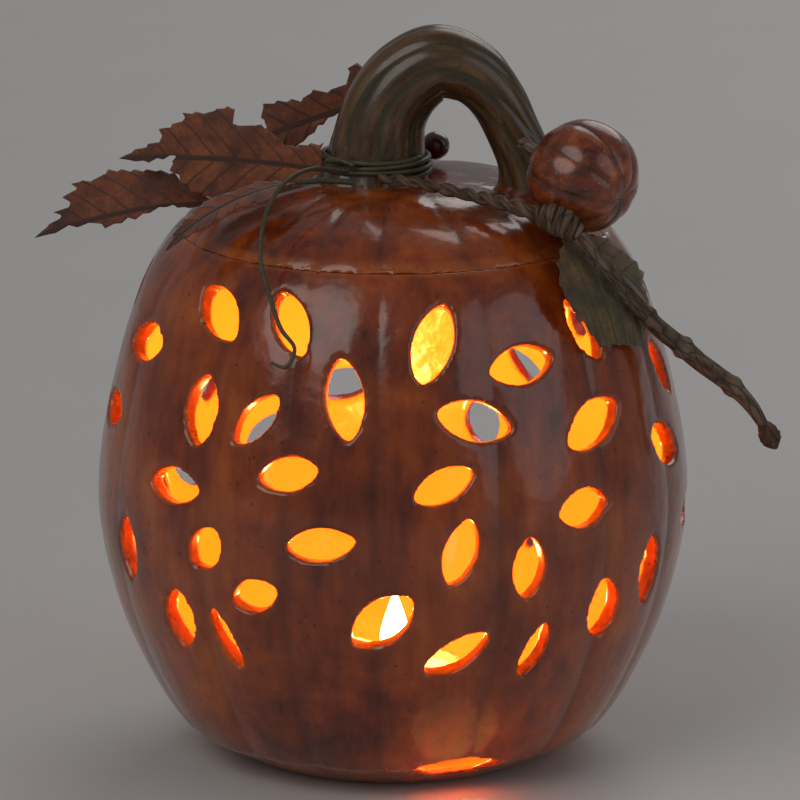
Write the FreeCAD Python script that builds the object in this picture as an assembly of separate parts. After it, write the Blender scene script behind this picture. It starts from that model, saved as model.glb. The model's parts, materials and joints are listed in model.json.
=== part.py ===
import FreeCAD, Part
import math
import os

# Ceramic pumpkin lantern: a pierced, glazed body with a lift-off lid, an arched stem
# that serves as the lid's handle, an autumn garland wired to the stem, and a tealight.
# Units are millimetres. +Z is up, the front faces -Y, and the origin is the middle of
# the flat base. Azimuths are degrees from the front (-Y) towards the right (+X).

Vector = FreeCAD.Vector
UP = Vector(0, 0, 1)

# ---- driving dimensions ----
BASE_RADIUS = 40.0
BODY_RADIUS = 80.0
WIDEST_HEIGHT = 71.0
SEAM_HEIGHT = 144.0
WALL = 5.5
FLOOR = 5.5
FLOOR_RADIUS = 49.0
MOUTH_RADIUS = 51.0
MOUTH_LIP_DEPTH = 3.5

LID_RADIUS = 57.6
LID_TOP = 158.0
FLANGE_RADIUS = 50.0
FLANGE_THICKNESS = 4.5
FLANGE_DEPTH = 7.0

CUP_RADIUS = 19.0
CUP_HEIGHT = 16.0
CUP_SKIN = 0.4
CUP_RIM = 0.8
WAX_DEPTH = 14.0
CLIP_RADIUS = 6.0
CLIP_THICKNESS = 0.4
WICK_RADIUS = 0.8
WICK_ABOVE_WAX = 7.0

GOURD_RADIUS = 15.0
LEAF_THICKNESS = 0.8
STALK_RADIUS = 0.8
TENDRIL_RADIUS = 0.6
BERRY_RADIUS = 3.8

# ---- body outline (radius, height), from the knuckle above the base to the seam ----
KNUCKLE = (57.0, 8.5)
BODY_SIDE = [
    KNUCKLE,
    (63.5, 17.5),
    (69.0, 28.0),
    (74.0, 40.0),
    (78.2, 56.0),
    (BODY_RADIUS, WIDEST_HEIGHT),
    (78.8, 88.0),
    (75.6, 104.0),
    (71.3, 120.0),
    (65.9, 133.0),
    (58.0, SEAM_HEIGHT),
]

# ---- freehand almond cut-outs: (azimuth, height, lean from level, length, width) ----
# These are cut in the front and again, half a turn on, in the back.
CUT_OUTS = [
    (-90, 127, 100, 18.5, 9),
    (-44, 132, 140, 20, 10.5),
    (-24, 132, 120, 20, 9),
    (9, 128, 70, 23, 10.5),
    (48, 127, 110, 19, 9),
    (-68, 119, 9, 20.5, 10.5),
    (29, 121, 8, 19.5, 10),
    (76, 110, 120, 18.5, 7.5),
    (-29, 107, 50, 18, 8.5),
    (-79, 98, 0, 18, 9.5),
    (70, 91, 154, 19, 10.5),
    (84, 68, 0, 18.5, 9),
    (-64, 64, 88, 18, 10.5),
    (-28, 60, 20, 14.5, 9),
    (61, 59, 92, 19.5, 10.5),
    (-36, 46, 114, 20, 5.5),
    (13, 45, 32, 20.5, 8.5),
    (30, 44, 70, 18, 6),
]
HALF_TURNS = (0, 180)
# The rest differ from front to back.
FRONT_CUT_OUTS = [
    (-10, 114, 98, 22.5, 10),
    (-43, 107, 90, 19.5, 10.5),
    (17, 108, 164, 21.5, 10.5),
    (45, 103, 22, 22.5, 11),
    (-21, 94, 12, 17.5, 9),
    (10, 92, 24, 18, 8.5),
    (40, 82, 4, 18, 10),
    (-48, 86, 0, 19, 9),
    (-14, 76, 9, 19.5, 9),
    (13, 74, 73, 19, 9),
    (-39, 71, 50, 13.5, 10),
    (27, 68, 87, 17.5, 9),
    (-2, 55, 42, 21, 12),
    (47, 52, 94, 17.5, 11),
    (-48, 49, 86, 17.5, 10.5),
]
BACK_CUT_OUTS = [
    (168, 116, 98, 17, 8.5),
    (132, 110, 110, 16, 8),
    (184, 104, 60, 18, 9),
    (131, 91, 0, 18, 9),
    (224, 91, 85, 17, 9),
    (149, 89.5, 45, 18, 6),
    (237, 83, 10, 16, 8.5),
    (191, 83, 176, 20, 9),
    (160.5, 72, 80, 14.5, 10),
    (208, 70, 150, 16, 8),
    (228, 64, 20, 18, 10),
    (180, 54, 85, 16, 9),
    (125, 44, 100, 15, 9),
]

# The almond shape: places along its half-length, and how sharply its ends draw in.
ALMOND_STATIONS = (-1, -0.85, -0.5, 0, 0.5, 0.85, 1)
ALMOND_POINT = 0.8
CUT_OUT_REACH = WALL + 3

# ---- low air vents, cut through the knuckle ----
VENT_AZIMUTH = 18
VENT_CENTRE = (55.0, 8.0)
VENT_DIP = 32
VENT_LENGTH = 25.5
VENT_WIDTH = 10
VENT_REACH = 12

# ---- arched stem: (x, z, radius) along its centre line, from the thick leg ----
STEM_LINE = [
    (-6.0, 148.0, 17.5),
    (-5.0, 157.0, 14.6),
    (-4.0, 166.0, 12.8),
    (-2.0, 175.5, 11.6),
    (3.6, 184.2, 10.9),
    (12.0, 189.0, 10.0),
    (21.0, 186.4, 8.8),
    (27.6, 179.3, 7.6),
    (32.2, 170.0, 7.2),
    (36.0, 160.5, 8.0),
    (38.5, 148.0, 10.5),
]

# ---- leaf cuts: (along the midrib, across it) corners, from the stalk round to the
# stalk; across is positive to the right, looking from stalk to tip with the face up ----
BROAD_LEAF = [
    (-5.5, 0.0),
    (-5.5, 8.5),
    (3.5, 6.3),
    (11.3, 11.5),
    (17.3, 10.3),
    (18.9, 15.5),
    (20.5, 16.1),
    (25.7, 13.6),
    (31.8, 13.7),
    (31.2, 11.5),
    (37.7, 8.5),
    (36.9, 5.5),
    (41.1, 3.8),
    (47.5, 0.4),
    (40.1, -0.6),
    (32.8, 1.6),
    (33.7, -3.4),
    (28.0, -8.5),
    (21.5, -10.5),
    (12.5, -9.0),
    (3.0, -6.0),
]
LONG_LEAF = [
    (-1.2, -0.8),
    (2.5, 4.5),
    (7.6, 9.3),
    (18.3, 12.3),
    (24.5, 14.1),
    (29.0, 11.2),
    (34.5, 12.4),
    (32.9, 10.7),
    (37.4, 9.1),
    (35.5, 6.2),
    (40.4, 5.3),
    (38.6, 3.0),
    (46.7, 0.0),
    (36.4, -1.2),
    (29.9, -1.0),
    (28.0, -3.2),
    (19.9, -2.6),
    (11.0, 0.0),
    (5.0, -1.2),
]
DROOPING_LEAF = [
    (-1.5, 1.0),
    (4.0, 8.5),
    (9.4, 11.1),
    (13.7, 11.4),
    (20.0, 9.8),
    (28.3, 4.4),
    (30.0, 1.4),
    (29.8, -3.8),
    (32.8, -14.2),
    (25.2, -23.3),
    (25.6, -29.3),
    (17.6, -23.7),
    (15.5, -26.8),
    (9.7, -21.8),
    (3.8, -16.3),
    (-1.5, -5.0),
]
RAGGED_LEAF = [
    (-1.0, 2.0),
    (2.2, 6.8),
    (4.6, 6.4),
    (5.7, 3.6),
    (11.5, 2.2),
    (16.1, 4.4),
    (19.4, 3.4),
    (29.4, 7.8),
    (31.2, 4.9),
    (30.9, 3.0),
    (35.0, 0.0),
    (27.9, -6.8),
    (19.6, -5.2),
    (14.2, -3.4),
    (4.0, -4.0),
]
NARROW_LEAF = [
    (-1.5, 1.5),
    (7.0, 6.0),
    (13.0, 4.0),
    (22.0, 6.5),
    (28.0, 4.5),
    (38.0, 0.0),
    (27.0, -5.5),
    (18.0, -4.0),
    (8.0, -6.0),
]

# name: (outline, stalk end, midrib direction, facing direction, bend radius)
LEAVES = {
    "leaf_left_upper": (BROAD_LEAF, (-25.0, -9.5, 161.6), (-1, 0, 0.09), (0, -0.8, 0.6), 130),
    "leaf_left_lower": (LONG_LEAF, (-49.5, -8.0, 153.0), (-0.97, -0.04, -0.2), (-0.1, -0.75, 0.66), 90),
    "leaf_left_front": (NARROW_LEAF, (-27.0, -24.0, 160.5), (-0.83, -0.36, -0.3), (-0.3, -0.3, 1), 52),
    "leaf_rear": (RAGGED_LEAF, (-4.8, 18.5, 179.6), (-0.9, -0.27, -0.33), (-0.1, -0.85, 0.5), 75),
    "leaf_right": (DROOPING_LEAF, (46.5, -41.5, 149.3), (0.36, -0.18, -0.91), (0.71, -0.58, 0.39), 64),
}

# ---- garland rods: (x, y, z, radius) along each centre line ----
VINE_LINE = [
    (-3.0, -17.0, 160.8, 1.6),
    (8.0, -23.5, 160.8, 1.6),
    (19.0, -30.0, 159.6, 1.7),
    (29.5, -36.5, 158.2, 1.8),
    (38.0, -42.0, 156.9, 2.1),
]
KNOT_LINE = [
    (38.4, -42.2, 156.8, 2.4),
    (41.0, -43.9, 156.4, 3.6),
    (44.0, -45.2, 155.4, 3.9),
    (46.6, -46.0, 153.8, 3.3),
    (48.4, -46.4, 152.2, 2.4),
]
TWIG_LINE = [
    (49.0, -46.5, 151.5, 2.3),
    (55.5, -45.2, 143.5, 2.3),
    (61.5, -41.5, 135.5, 2.4),
    (67.0, -36.0, 128.0, 2.4),
    (73.0, -29.5, 121.0, 2.5),
    (79.0, -24.5, 115.0, 2.6),
    (85.0, -21.5, 109.5, 2.5),
    (91.0, -20.0, 104.3, 2.4),
    (96.0, -19.0, 99.0, 2.0),
    (98.8, -18.5, 94.3, 1.5),
]
BUD_LINE = [
    (99.0, -18.4, 93.9, 1.6),
    (100.2, -18.2, 92.0, 2.7),
    (101.2, -18.1, 90.0, 2.9),
    (102.0, -18.0, 88.4, 2.1),
    (102.5, -17.9, 87.5, 0.9),
]
TENDRIL_LINE = [
    (-12.0, -17.8, 163.0),
    (-21.0, -26.0, 165.5),
    (-28.5, -37.0, 164.0),
    (-33.5, -47.5, 157.0),
    (-34.5, -54.5, 147.0),
    (-32.0, -59.5, 138.5),
    (-29.0, -64.5, 131.0),
    (-25.5, -69.5, 126.5),
    (-28.0, -71.5, 122.5),
    (-31.5, -70.5, 123.5),
]
GOURD_CENTRE = (50.2, -28.5, 163.9)
GOURD_AXIS = (-0.75, 0.6, 0.3)
GOURD_STALK_LENGTH = 7.0
BERRY_CENTRE = (11.5, 17.5, 162.5)
BERRY_STALK = [(1.8, 16.2, 160.2), (4.5, 17.2, 161.2), (7.6, 17.4, 162.2)]

# ---- wire stalks: (x, y, z) along each centre line, from the tie to the leaf ----
STALKS = {
    "stalk_left_upper": [(-10.6, -15.6, 164.2), (-14.2, -14.2, 165.2), (-17.6, -11.4, 164.4)],
    "stalk_left_lower": [(-20.0, -9.0, 158.6), (-34.0, -9.5, 158.0), (-47.0, -8.4, 154.2)],
    "stalk_left_front": [(-11.0, -19.5, 160.4), (-18.0, -22.0, 161.4), (-24.8, -23.6, 161.4)],
    "stalk_rear": [(-3.5, 17.4, 160.4), (-3.0, 18.6, 169.0), (-4.0, 19.0, 178.0)],
    "stalk_right": [(39.0, -38.4, 154.6), (42.5, -39.6, 154.2), (45.2, -40.8, 152.4)],
}

# ---- tie wire: closed turns round the thick leg, just above the lid ----
TIE_HEIGHTS = (160.4, 162.0, 163.6)
TIE_WIRE_RADIUS = 0.7
TIE_RADIUS = 14.9
TIE_CENTRE_X = -4.6


def spline(points):
    """One smooth edge through the points."""
    curve = Part.BSplineCurve()
    curve.interpolate([Vector(*p) for p in points])
    return curve.toShape()


def outline_points(pairs):
    """(radius, height) pairs as points of the XZ half-plane."""
    return [(r, 0, z) for r, z in pairs]


def line(a, b):
    return Part.LineSegment(Vector(*a), Vector(*b)).toShape()


def polyline(pairs):
    """Straight edges through (radius, height) pairs."""
    corners = outline_points(pairs)
    return [line(a, b) for a, b in zip(corners, corners[1:])]


def turned(edges):
    """The solid swept by a closed half-outline turned about the Z axis."""
    face = Part.Face(Part.Wire(Part.__sortEdges__(edges)))
    return face.revolve(Vector(0, 0, 0), UP, 360)


def inset(pairs, depth):
    """The outline's points moved inwards by depth, square to the outline."""
    moved = []
    last = len(pairs) - 1
    for i, (r, z) in enumerate(pairs):
        before = pairs[max(i - 1, 0)]
        after = pairs[min(i + 1, last)]
        dr = after[0] - before[0]
        dz = after[1] - before[1]
        length = math.hypot(dr, dz)
        moved.append((r - depth * dz / length, z + depth * dr / length))
    return moved


def body_blank():
    """The thrown pot before it is pierced: outside less inside."""
    outside = polyline([(0, 0), (BASE_RADIUS, 0), KNUCKLE])
    outside.append(spline(outline_points(BODY_SIDE)))
    outside += polyline([(BODY_SIDE[-1][0], SEAM_HEIGHT), (0, SEAM_HEIGHT), (0, 0)])
    lip = (MOUTH_RADIUS, SEAM_HEIGHT - MOUTH_LIP_DEPTH)
    inner_side = [(FLOOR_RADIUS, FLOOR)] + inset(BODY_SIDE, WALL)[1:-1] + [lip]
    over_mouth = SEAM_HEIGHT + 5
    inside = polyline([(0, FLOOR), inner_side[0]])
    inside.append(spline(outline_points(inner_side)))
    inside += polyline([lip, (MOUTH_RADIUS, over_mouth), (0, over_mouth), (0, FLOOR)])
    return turned(outside).cut(turned(inside))


def side_at(height):
    """Radius and outward normal (radial, up) of the body's side at a height."""
    curve = spline(outline_points(BODY_SIDE)).Curve
    low, high = curve.FirstParameter, curve.LastParameter
    for _ in range(40):
        middle = (low + high) / 2
        if curve.value(middle).z < height:
            low = middle
        else:
            high = middle
    along = curve.tangent(low)[0]
    return curve.value(low).x, (along.z, -along.x)


def almond(length, width):
    """A flat face with pointed ends in the XY plane, with its length along X."""
    sides = []
    for hand in (1, -1):
        points = []
        for share in ALMOND_STATIONS:
            half_width = width / 2 * (1 - share * share) ** ALMOND_POINT
            points.append((length / 2 * share, hand * half_width, 0))
        sides.append(spline(points))
    return Part.Face(Part.Wire(sides))


def placed(shape, origin, x_axis, z_axis):
    """The shape moved from the standard frame to the frame given by two directions."""
    z_dir = Vector(*z_axis).normalize()
    x_dir = Vector(*x_axis)
    x_dir = (x_dir - z_dir * x_dir.dot(z_dir)).normalize()
    y_dir = z_dir.cross(x_dir)
    matrix = FreeCAD.Matrix(
        x_dir.x, y_dir.x, z_dir.x, origin[0],
        x_dir.y, y_dir.y, z_dir.y, origin[1],
        x_dir.z, y_dir.z, z_dir.z, origin[2],
        0, 0, 0, 1,
    )
    moved = shape.copy()
    moved.Placement = FreeCAD.Placement(matrix).multiply(shape.Placement)
    return moved


def cutter(azimuth, radius, height, normal, lean, length, width, reach):
    """An almond prism through the wall, square to it, leaning by lean degrees."""
    turn = math.radians(azimuth)
    outward = Vector(math.sin(turn), -math.cos(turn), 0)
    sideways = Vector(math.cos(turn), math.sin(turn), 0)
    facing = outward * normal[0] + UP * normal[1]
    uphill = facing.cross(sideways)
    tilt = math.radians(lean)
    along = sideways * math.cos(tilt) + uphill * math.sin(tilt)
    centre = outward * radius + UP * height
    start = centre - facing * reach
    prism = almond(length, width).extrude(Vector(0, 0, 2 * reach))
    return placed(prism, tuple(start), tuple(along), tuple(facing))


def body_cutters():
    """Every cut-out and vent, all round the body."""
    cut_outs = FRONT_CUT_OUTS + BACK_CUT_OUTS
    cutters = []
    dip = math.radians(VENT_DIP)
    down_and_out = (math.cos(dip), -math.sin(dip))
    for half_turn in HALF_TURNS:
        cut_outs += [(azimuth + half_turn, *rest) for azimuth, *rest in CUT_OUTS]
        vent = VENT_AZIMUTH + half_turn
        size = (VENT_LENGTH, VENT_WIDTH)
        cutters.append(cutter(vent, *VENT_CENTRE, down_and_out, 0, *size, VENT_REACH))
    for azimuth, height, lean, length, width in cut_outs:
        radius, normal = side_at(height)
        cutters.append(cutter(azimuth, radius, height, normal, lean, length, width, CUT_OUT_REACH))
    return cutters


def lid_dome():
    """The lid's outside as a full solid, down to the seam."""
    top = [
        (0, LID_TOP),
        (16, LID_TOP - 0.3),
        (32, LID_TOP - 1.7),
        (44, LID_TOP - 4.6),
        (52.5, LID_TOP - 8.6),
        (LID_RADIUS, SEAM_HEIGHT),
    ]
    edges = [spline(outline_points(top))]
    edges += polyline([(LID_RADIUS, SEAM_HEIGHT), (0, SEAM_HEIGHT), (0, LID_TOP)])
    return turned(edges)


def lid():
    """A shallow hollow dome with a locating flange that drops into the mouth."""
    flange_bore = FLANGE_RADIUS - FLANGE_THICKNESS
    flange = Part.makeCylinder(FLANGE_RADIUS, FLANGE_DEPTH, Vector(0, 0, SEAM_HEIGHT - FLANGE_DEPTH))
    under = [
        (0, LID_TOP - WALL),
        (18, LID_TOP - WALL - 0.4),
        (34, LID_TOP - WALL - 2.6),
        (flange_bore, SEAM_HEIGHT + 1.5),
    ]
    below_flange = SEAM_HEIGHT - FLANGE_DEPTH - 2
    edges = [spline(outline_points(under))]
    edges += polyline([under[-1], (flange_bore, below_flange), (0, below_flange), under[0]])
    return lid_dome().fuse(flange).cut(turned(edges)).removeSplitter()


def ring(centre, direction, radius):
    """A closed round wire about a centre line."""
    return Part.Wire(Part.Circle(Vector(*centre), Vector(*direction), radius).toShape())


def rod(stations):
    """A solid rod through (x, y, z, radius) stations, round in section."""
    rings = []
    last = len(stations) - 1
    for i, (x, y, z, radius) in enumerate(stations):
        before = stations[max(i - 1, 0)]
        after = stations[min(i + 1, last)]
        direction = [b - a for a, b in zip(before[:3], after[:3])]
        rings.append(ring((x, y, z), direction, radius))
    return Part.makeLoft(rings, True, False)


def bent_wire(points, radius):
    """A round wire along straight runs joined by tangent arcs."""
    route = [Vector(*p) for p in points]
    edges = []
    start = route[0]
    for before, corner, after in zip(route, route[1:], route[2:]):
        back = before - corner
        ahead = after - corner
        reach = 0.45 * min(back.Length, ahead.Length)
        back.normalize()
        ahead.normalize()
        half_turn = (math.pi - back.getAngle(ahead)) / 2
        bend = reach / math.tan(half_turn)
        inwards = (back + ahead).normalize()
        middle = corner + inwards * (bend / math.cos(half_turn) - bend)
        arc_start = corner + back * reach
        arc_end = corner + ahead * reach
        edges.append(Part.LineSegment(start, arc_start).toShape())
        edges.append(Part.Arc(arc_start, middle, arc_end).toShape())
        start = arc_end
    edges.append(Part.LineSegment(start, route[-1]).toShape())
    section = ring(points[0], route[1] - route[0], radius)
    return Part.Wire(edges).makePipeShell([section], True, True)


def stem_handle():
    """The arched stem, its two legs cut to sit on the lid's dome."""
    arch = rod([(x, 0, z, radius) for x, z, radius in STEM_LINE])
    return arch.cut(lid_dome()).Solids[0]


def leaf(outline, stalk_end, midrib, facing, bend):
    """A thin leaf cut to its outline from a shell that domes towards its face."""
    corners = [Vector(x, -y, -30) for x, y in outline]
    prism = Part.Face(Part.makePolygon(corners + corners[:1])).extrude(Vector(0, 0, 60))
    half_length = max(x for x, y in outline) / 2
    rise = math.sqrt(bend * bend - half_length * half_length)
    middle = Vector(half_length, 0, -rise)
    shell = Part.makeSphere(bend + LEAF_THICKNESS / 2, middle)
    shell = shell.cut(Part.makeSphere(bend - LEAF_THICKNESS / 2, middle))
    pieces = prism.common(shell).Solids
    blade = max(pieces, key=lambda piece: piece.CenterOfMass.z)
    return placed(blade, stalk_end, midrib, facing)


def gourd():
    """A small round gourd, a little flattened at the stalk and drawn in at the blossom end."""
    side = [
        (0, 0.90),
        (0.35, 0.93),
        (0.80, 0.62),
        (1.0, 0.05),
        (0.84, -0.55),
        (0.42, -0.92),
        (0, -1.0),
    ]
    scaled = [(r * GOURD_RADIUS, z * GOURD_RADIUS) for r, z in side]
    edges = [spline(outline_points(scaled))] + polyline([scaled[-1], scaled[0]])
    return placed(turned(edges), GOURD_CENTRE, (0, 0, 1), GOURD_AXIS)


def gourd_stalk():
    """The gourd's tapered stalk, standing on its flattened end."""
    axis = Vector(*GOURD_AXIS).normalize()
    root = Vector(*GOURD_CENTRE) + axis * (0.95 * GOURD_RADIUS)
    return Part.makeCone(2.2, 1.3, GOURD_STALK_LENGTH, root, axis).cut(gourd())


def tie_wire(stem):
    """Three close turns of florist's wire round the thick leg of the stem."""
    turns = []
    for height in TIE_HEIGHTS:
        centre = Vector(TIE_CENTRE_X, 0, height)
        turns.append(Part.makeTorus(TIE_RADIUS, TIE_WIRE_RADIUS, centre, UP))
    return Part.makeCompound([turn.cut(stem) for turn in turns])


def tealight_cup():
    """A pressed aluminium cup with a rolled rim."""
    low = Vector(0, 0, FLOOR)
    cup = Part.makeCylinder(CUP_RADIUS, CUP_HEIGHT, low)
    hollow = Part.makeCylinder(CUP_RADIUS - CUP_SKIN, CUP_HEIGHT, Vector(0, 0, FLOOR + CUP_SKIN))
    rim = Part.makeTorus(CUP_RADIUS - CUP_SKIN / 2, CUP_RIM, Vector(0, 0, FLOOR + CUP_HEIGHT))
    return cup.cut(hollow).fuse(rim)


def wick_clip():
    """The pressed steel foot that holds the wick upright in the wax."""
    low = FLOOR + CUP_SKIN
    plate = Part.makeCylinder(CLIP_RADIUS, CLIP_THICKNESS, Vector(0, 0, low))
    collar = Part.makeCylinder(WICK_RADIUS + 0.6, 3.0, Vector(0, 0, low))
    bore = Part.makeCylinder(WICK_RADIUS, 3.0, Vector(0, 0, low + CLIP_THICKNESS))
    return plate.fuse(collar).cut(bore)


def wick():
    low = FLOOR + CUP_SKIN + CLIP_THICKNESS
    top = FLOOR + CUP_SKIN + WAX_DEPTH + WICK_ABOVE_WAX
    return Part.makeCylinder(WICK_RADIUS, top - low, Vector(0, 0, low))


def wax():
    """The wax, cast round the wick and its clip."""
    block = Part.makeCylinder(CUP_RADIUS - CUP_SKIN, WAX_DEPTH, Vector(0, 0, FLOOR + CUP_SKIN))
    return block.cut(wick_clip()).cut(wick())


def model():
    """Every node's name and shape."""
    stem = stem_handle()
    nodes = {
        "pumpkin_body": body_blank().cut(Part.makeCompound(body_cutters())),
        "lid": lid(),
        "stem_handle": stem,
        "tealight_cup": tealight_cup(),
        "tealight_wax": wax(),
        "wick": wick(),
        "wick_clip": wick_clip(),
        "mini_gourd": gourd(),
        "gourd_stalk": gourd_stalk(),
        "vine": rod(VINE_LINE),
        "vine_knot": rod(KNOT_LINE),
        "twig": rod(TWIG_LINE),
        "twig_bud": rod(BUD_LINE),
        "tendril": bent_wire(TENDRIL_LINE, TENDRIL_RADIUS),
        "tie_wire": tie_wire(stem),
        "berry": Part.makeSphere(BERRY_RADIUS, Vector(*BERRY_CENTRE)),
        "berry_stalk": bent_wire(BERRY_STALK, STALK_RADIUS),
    }
    for name, centre_line in STALKS.items():
        nodes[name] = bent_wire(centre_line, STALK_RADIUS)
    for name, cut in LEAVES.items():
        nodes[name] = leaf(*cut)
    return nodes


os.makedirs("parts", exist_ok=True)
for node_name, node_shape in model().items():
    node_shape.exportStep(f"parts/{node_name}.step")
    solids = len(node_shape.Solids)
    print(f"{node_name}: {solids} solid(s), {node_shape.Volume / 1000:.1f} cm3, valid {node_shape.isValid()}")
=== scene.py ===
import json
import math
import random

import bmesh
import bpy
import numpy as np
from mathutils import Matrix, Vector, noise
from mathutils.geometry import delaunay_2d_cdt

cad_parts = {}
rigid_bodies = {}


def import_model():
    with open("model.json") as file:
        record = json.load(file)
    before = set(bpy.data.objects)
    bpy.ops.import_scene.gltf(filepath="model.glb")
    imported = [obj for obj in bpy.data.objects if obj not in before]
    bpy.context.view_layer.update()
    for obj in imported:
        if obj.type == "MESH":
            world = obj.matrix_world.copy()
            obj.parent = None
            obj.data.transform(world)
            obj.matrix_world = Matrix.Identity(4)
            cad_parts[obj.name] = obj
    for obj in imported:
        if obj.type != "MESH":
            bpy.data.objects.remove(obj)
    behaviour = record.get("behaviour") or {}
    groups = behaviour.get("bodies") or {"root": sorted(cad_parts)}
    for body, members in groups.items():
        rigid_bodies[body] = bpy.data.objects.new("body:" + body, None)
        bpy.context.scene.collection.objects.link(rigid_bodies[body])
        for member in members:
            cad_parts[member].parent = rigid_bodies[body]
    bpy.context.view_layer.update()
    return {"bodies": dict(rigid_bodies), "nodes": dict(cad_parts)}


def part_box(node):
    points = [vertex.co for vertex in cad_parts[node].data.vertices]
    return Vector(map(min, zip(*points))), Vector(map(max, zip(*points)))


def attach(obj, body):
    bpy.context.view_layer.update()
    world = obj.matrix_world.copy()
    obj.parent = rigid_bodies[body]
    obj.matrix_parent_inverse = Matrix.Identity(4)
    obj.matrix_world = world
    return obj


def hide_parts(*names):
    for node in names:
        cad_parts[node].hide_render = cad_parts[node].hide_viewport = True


# Looks of the ceramic pumpkin lantern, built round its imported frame. Blender works in
# metres; the routes and sizes below are in millimetres and are scaled by MM where used.

MM = 0.001
TAU = 2 * math.pi

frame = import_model()
NODES = frame["nodes"]

# ---- sizes of the look: lengths in millimetres, and plain counts and ratios ----
RIB_COUNT = 16
RIB_DEPTH = 0.9
RIB_FOOT = (1.5, 9)
RIB_HEAD = (118, 142)
LID_RIBS = (14, 42)
LID_RIM = (54.5, 57)
LID_HOLLOW = 46
FLOOR_REACH = 52
SKIN_DEPTH = (0.6, 3.0)
CLAY_VOXEL = 0.9
BODY_SOFTENING = 4
LID_SOFTENING = 3
LINING_DEPTH = (4.3, 5.0)
STEM_RIDGES = 8
GOURD_LOBES = 9
CUP_FLUTES = 48
TWIG_JOINTS = (12, 34, 52, 71)
LEAF_CLOTH = 0.35
LEAF_TOOTH = 3.8
LEAF_SWELL = 0.6
FLAME_HEIGHT = 19.0
FLAME_RADIUS = 4.3
GOURD_SWELL = 1.02
VEIN_GAP = 6.2
LEAF_STEP = 1.25

# ---- camera: metres, with the elevation in degrees; the width is what it sees at its target ----
CAMERA_DISTANCE = 2.0
CAMERA_ELEVATION = 14
CAMERA_TARGET = (0.0019, 0, 0.096)
CAMERA_WIDTH = 0.216

# ---- strengths of the lit parts (the painted glow of the inner glaze, and the flame), and the candle's power in watts ----
INNER_GLOW = 0.85
GLOW_REACH = 130
GLOW_HEIGHT = 150
FLAME_BRIGHTNESS = 24.0
CANDLE_POWER = 0.95
CANDLE_COLOUR = (1.0, 0.31, 0.06)

# ---- soft lights, in metres and watts: name, place, width, power, colour ----
LAMPS = (
    ("key", (-1.1, -1.3, 1.5), 1.7, 11.5, (1.0, 0.97, 0.93)),
    ("fill", (1.5, -0.9, 0.8), 1.7, 4.0, (0.93, 0.96, 1.0)),
    ("back", (0.7, 1.5, 1.3), 1.6, 8.0, (1.0, 0.98, 0.95)),
)
LAMP_TARGET = (0, 0, 0.09)

# ---- the garland, in millimetres; the fourth number of a route is its radius ----
STEM_LINE = [
    (-5.6, 0, 152, 16),
    (-5, 0, 157, 14.6),
    (-4, 0, 166, 12.8),
    (-2, 0, 175.5, 11.6),
    (3.6, 0, 184.2, 10.9),
    (12, 0, 189, 10),
    (21, 0, 186.4, 8.8),
    (27.6, 0, 179.3, 7.6),
    (32.2, 0, 170, 7.2),
    (36, 0, 160.5, 8),
    (37.6, 0, 152.5, 9.6),
]
VINE_LINE = [
    (-3, -17, 160.8, 1.6),
    (8, -23.5, 160.8, 1.6),
    (19, -30, 159.6, 1.7),
    (29.5, -36.5, 158.2, 1.8),
    (38, -42, 156.9, 2.1),
]
KNOT_LINE = [
    (38.4, -42.2, 156.8, 2.4),
    (41, -43.9, 156.4, 3.6),
    (44, -45.2, 155.4, 3.9),
    (46.6, -46, 153.8, 3.3),
    (48.4, -46.4, 152.2, 2.4),
]
TWIG_LINE = [
    (49, -46.5, 151.5, 2.3),
    (55.5, -45.2, 143.5, 2.3),
    (61.5, -41.5, 135.5, 2.4),
    (67, -36, 128, 2.4),
    (73, -29.5, 121, 2.5),
    (79, -24.5, 115, 2.6),
    (85, -21.5, 109.5, 2.5),
    (91, -20, 104.3, 2.4),
    (96, -19, 99, 2),
    (98.8, -18.5, 94.3, 1.5),
]
BUD_LINE = [
    (99, -18.4, 93.9, 1.6),
    (100.2, -18.2, 92, 2.7),
    (101.2, -18.1, 90, 2.9),
    (102, -18, 88.4, 2.1),
    (102.5, -17.9, 87.5, 0.9),
]
TENDRIL_LINE = [
    (-12, -17.8, 163, 0.6),
    (-21, -26, 165.5, 0.6),
    (-28.5, -37, 164, 0.6),
    (-33.5, -47.5, 157, 0.6),
    (-34.5, -54.5, 147, 0.6),
    (-32, -59.5, 138.5, 0.6),
    (-29, -64.5, 131, 0.6),
    (-25.5, -69.5, 126.5, 0.55),
    (-28, -71.5, 122.5, 0.5),
    (-31.5, -70.5, 123.5, 0.4),
]
STALK_LINES = {
    "stalk_left_upper": [(-10.6, -15.6, 164.2), (-14.2, -14.2, 165.2), (-17.6, -11.4, 164.4)],
    "stalk_left_lower": [(-20, -9, 158.6), (-34, -9.5, 158), (-47, -8.4, 154.2)],
    "stalk_left_front": [(-11, -19.5, 160.4), (-18, -22, 161.4), (-24.8, -23.6, 161.4)],
    "stalk_rear": [(-3.5, 17.4, 160.4), (-3, 18.6, 169), (-4, 19, 178)],
    "stalk_right": [(39, -38.4, 154.6), (42.5, -39.6, 154.2), (45.2, -40.8, 152.4)],
    "berry_stalk": [(1.8, 16.2, 160.2), (4.5, 17.2, 161.2), (7.6, 17.4, 162.2)],
}
STALK_RADIUS = 0.8
GOURD_CENTRE = (50.2, -28.5, 163.9)
GOURD_AXIS = (-0.75, 0.6, 0.3)
GOURD_RADIUS = 15.0
TIE_CENTRE = (-4.6, 0, 159.9)
TIE_RADIUS = 14.7
TIE_TURNS = 3.1
TIE_PITCH = 1.55


# ---- mesh helpers ----


def link(thing):
    bpy.context.scene.collection.objects.link(thing)


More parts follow.
